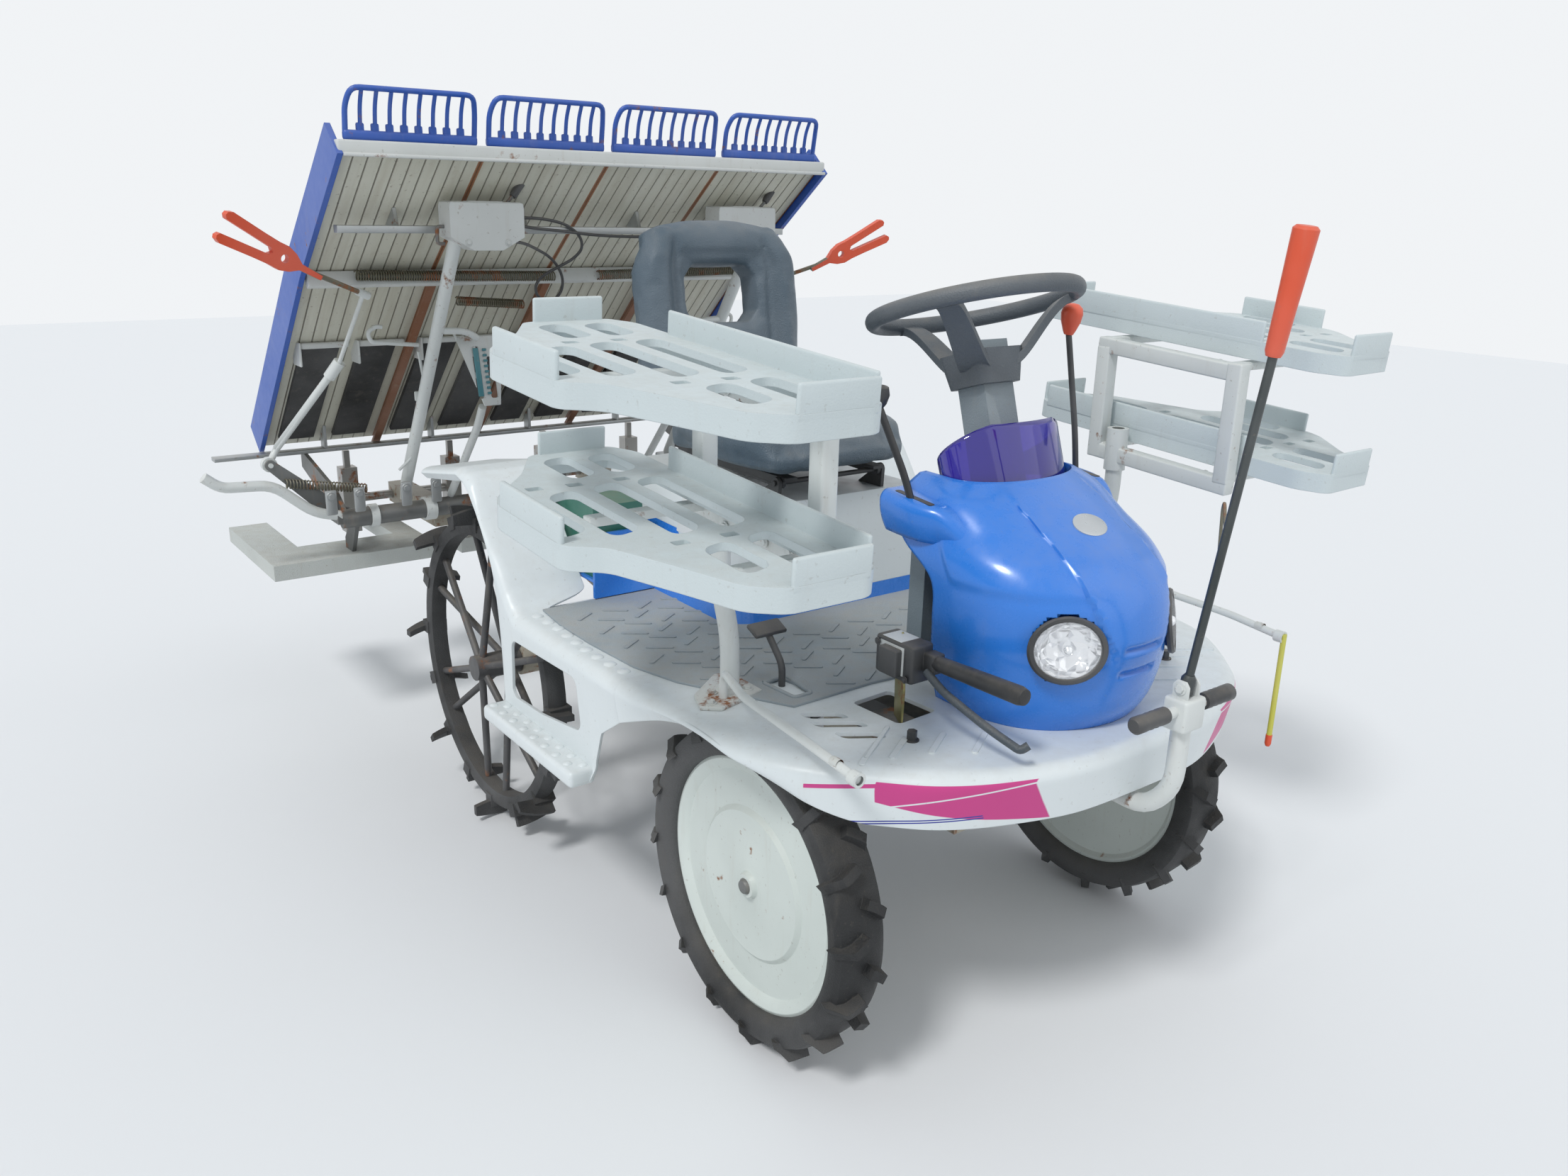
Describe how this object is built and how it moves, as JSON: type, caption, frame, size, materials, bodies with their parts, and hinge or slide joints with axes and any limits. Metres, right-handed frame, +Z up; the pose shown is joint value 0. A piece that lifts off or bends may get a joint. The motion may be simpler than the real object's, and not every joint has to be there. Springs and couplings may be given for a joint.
{
  "type": "riding rice transplanter",
  "caption": "Four-wheeled ride-on rice transplanter with a raised four-row planting unit, sloping seedling table and spare seedling racks.",
  "frame": {"origin": "on the ground at the middle of the machine's bounding box", "axes": "+Y towards the rear, +X towards the machine's left, +Z up"},
  "size_m": [1.7794, 2.6341, 1.5631],
  "materials": {
    "frame_paint": "satin, dusty",
    "engine_metal": "cast, oily",
    "case_paint": "satin, rust at edges",
    "white_moulding": "satin",
    "mat_grey": "matt with treads",
    "blue_moulding": "gloss",
    "visor_tint": "tinted, clear",
    "lamp_lens": "clear, facetted reflector behind",
    "column_grey": "satin",
    "white_paint": "gloss, rust at ends",
    "black_plastic": "satin",
    "battery_case": "satin",
    "wheel_grey": "satin",
    "seat_vinyl": "satin vinyl",
    "disc_white": "satin, scuffed",
    "tyre_rubber": "matt",
    "wheel_steel": "worn, rusty at the hub",
    "tray_white": "satin",
    "pole_finish": "satin, orange top",
    "link_steel": "satin",
    "rod_steel": "bright",
    "zinc_steel": "dull galvanised",
    "float_white": "satin",
    "table_ivory": "satin, aged",
    "table_blue": "gloss",
    "belt_rubber": "matt",
    "claw_steel": "worn"
  },
  "bodies": {
    "chassis": {"frame_rails": "frame_paint", "engine_block": "engine_metal", "drive_case": "case_paint", "rear_axle_case": "case_paint", "deck": "white_moulding", "floor_mat": "mat_grey", "bonnet": "blue_moulding", "meter_visor": "visor_tint", "headlamps": "lamp_lens", "column_cover": "column_grey", "seat_base": "white_moulding", "under_cover": "blue_moulding", "fenders": "white_moulding", "front_bumper": "white_paint", "rack_posts": "white_paint", "hand_controls": "black_plastic", "battery_box": "battery_case", "seat_mount": "black_plastic"},
    "steering": {"steering_wheel": "wheel_grey"},
    "seat": {"seat_frame": "black_plastic", "seat_cushion": "seat_vinyl", "seat_back": "seat_vinyl"},
    "knuckle_l": {"knuckle_left": "case_paint"},
    "knuckle_r": {"knuckle_right": "case_paint"},
    "wheel_fl": {"front_disc_left": "disc_white", "front_tyre_left": "tyre_rubber"},
    "wheel_fr": {"front_disc_right": "disc_white", "front_tyre_right": "tyre_rubber"},
    "wheel_rl": {"rear_wheel_left": "wheel_steel", "rear_tread_left": "tyre_rubber"},
    "wheel_rr": {"rear_wheel_right": "wheel_steel", "rear_tread_right": "tyre_rubber"},
    "rack_l": {"rack_frame_left": "white_paint", "rack_trays_left": "tray_white"},
    "rack_r": {"rack_frame_right": "white_paint", "rack_trays_right": "tray_white"},
    "pole": {"mascot_pole": "pole_finish"},
    "marker_l": {"side_marker_left": "white_paint"},
    "marker_r": {"side_marker_right": "white_paint"},
    "lift_link": {"lower_links": "link_steel"},
    "top_link": {"upper_link": "link_steel"},
    "cylinder": {"lift_barrel": "link_steel"},
    "piston": {"lift_rod": "rod_steel"},
    "unit": {"unit_frame": "link_steel", "unit_posts": "white_paint", "slide_rails": "zinc_steel", "floats": "float_white", "planting_cases": "case_paint"},
    "table": {"seedling_table": "table_ivory", "table_runners": "zinc_steel", "table_sides": "table_blue", "seedling_combs": "table_blue", "feed_belts": "belt_rubber"},
    "rotor_l": {"rotors_left": "claw_steel"},
    "rotor_r": {"rotors_right": "claw_steel"},
    "arm_l": {"line_marker_left": "white_paint"},
    "arm_r": {"line_marker_right": "white_paint"}
  },
  "joints": [
    {"name": "steer", "type": "hinge", "parent": "chassis", "child": "steering", "pos_m": [0, -0.732, 1.215], "axis": [0, 0.2924, 0.9563], "range_deg": [-540, 540]},
    {"name": "knuckle_left", "type": "hinge", "parent": "chassis", "child": "knuckle_l", "pos_m": [0.336, -0.75, 0.425], "axis": [0, 0, 1], "range_deg": [-40, 40]},
    {"name": "knuckle_right", "type": "hinge", "parent": "chassis", "child": "knuckle_r", "pos_m": [-0.336, -0.75, 0.425], "axis": [0, 0, 1], "range_deg": [-40, 40]},
    {"name": "roll_front_left", "type": "hinge", "parent": "knuckle_l", "child": "wheel_fl", "pos_m": [0.43, -0.75, 0.291], "axis": [1, 0, 0], "continuous": true},
    {"name": "roll_front_right", "type": "hinge", "parent": "knuckle_r", "child": "wheel_fr", "pos_m": [-0.43, -0.75, 0.291], "axis": [1, 0, 0], "continuous": true},
    {"name": "roll_rear_left", "type": "hinge", "parent": "chassis", "child": "wheel_rl", "pos_m": [0.473, 0.217, 0.368], "axis": [1, 0, 0], "continuous": true},
    {"name": "roll_rear_right", "type": "hinge", "parent": "chassis", "child": "wheel_rr", "pos_m": [-0.473, 0.217, 0.368], "axis": [1, 0, 0], "continuous": true},
    {"name": "seat_tilt", "type": "hinge", "parent": "chassis", "child": "seat", "pos_m": [0, -0.373, 0.86], "axis": [1, 0, 0], "range_deg": [0, 50]},
    {"name": "rack_swing_left", "type": "hinge", "parent": "chassis", "child": "rack_l", "pos_m": [0.472, -0.688, 0.9], "axis": [0, 0, 1], "range_deg": [0, 85]},
    {"name": "rack_swing_right", "type": "hinge", "parent": "chassis", "child": "rack_r", "pos_m": [-0.472, -0.688, 0.9], "axis": [0, 0, 1], "range_deg": [-85, 0]},
    {"name": "pole_fold", "type": "hinge", "parent": "chassis", "child": "pole", "pos_m": [0, -1.22, 0.706], "axis": [1, 0, 0], "range_deg": [0, 80]},
    {"name": "marker_swing_left", "type": "hinge", "parent": "chassis", "child": "marker_l", "pos_m": [0.464, -0.688, 0.62], "axis": [0, 0, 1], "range_deg": [0, 90]},
    {"name": "marker_swing_right", "type": "hinge", "parent": "chassis", "child": "marker_r", "pos_m": [-0.464, -0.688, 0.62], "axis": [0, 0, 1], "range_deg": [-90, 0]},
    {"name": "lift", "type": "hinge", "parent": "chassis", "child": "lift_link", "pos_m": [0, 0.337, 0.455], "axis": [1, 0, 0], "range_deg": [-50, 2]},
    {"name": "top_link", "type": "hinge", "parent": "chassis", "child": "top_link", "pos_m": [0, 0.367, 0.64], "axis": [1, 0, 0], "range_deg": [-50, 2]},
    {"name": "unit_level", "type": "hinge", "parent": "lift_link", "child": "unit", "pos_m": [0, 0.777, 0.545], "axis": [1, 0, 0], "range_deg": [-2, 50]},
    {"name": "cylinder_swing", "type": "hinge", "parent": "chassis", "child": "cylinder", "pos_m": [0, -0.083, 0.5], "axis": [1, 0, 0], "range_deg": [-5.33, 1]},
    {"name": "piston_stroke", "type": "slide", "parent": "cylinder", "child": "piston", "axis": [0, 0.9895, 0.1448], "range_m": [-0.006, 0.0826]},
    {"name": "table_slide", "type": "slide", "parent": "unit", "child": "table", "axis": [1, 0, 0], "range_m": [-0.073, 0.207]},
    {"name": "rotor_spin_left", "type": "hinge", "parent": "unit", "child": "rotor_l", "pos_m": [0.3, 1.202, 0.54], "axis": [1, 0, 0], "continuous": true},
    {"name": "rotor_spin_right", "type": "hinge", "parent": "unit", "child": "rotor_r", "pos_m": [-0.3, 1.202, 0.54], "axis": [1, 0, 0], "continuous": true},
    {"name": "marker_arm_left", "type": "hinge", "parent": "unit", "child": "arm_l", "pos_m": [0.728, 0.907, 0.723], "axis": [0, 1, 0], "range_deg": [0, 100]},
    {"name": "marker_arm_right", "type": "hinge", "parent": "unit", "child": "arm_r", "pos_m": [-0.728, 0.907, 0.723], "axis": [0, 1, 0], "range_deg": [-100, 0]}
  ],
  "couplings": [
    {"joint": "knuckle_left", "follows": "steer", "ratio": 0.074074},
    {"joint": "knuckle_right", "follows": "steer", "ratio": 0.074074},
    {"joint": "top_link", "follows": "lift", "ratio": 1},
    {"joint": "unit_level", "follows": "lift", "ratio": -1},
    {"joint": "cylinder_swing", "follows": "lift", "ratio": 0.09666},
    {"joint": "piston_stroke", "follows": "lift", "m_per_rad": -0.092314},
    {"joint": "rotor_spin_right", "follows": "rotor_spin_left", "ratio": 1}
  ]
}
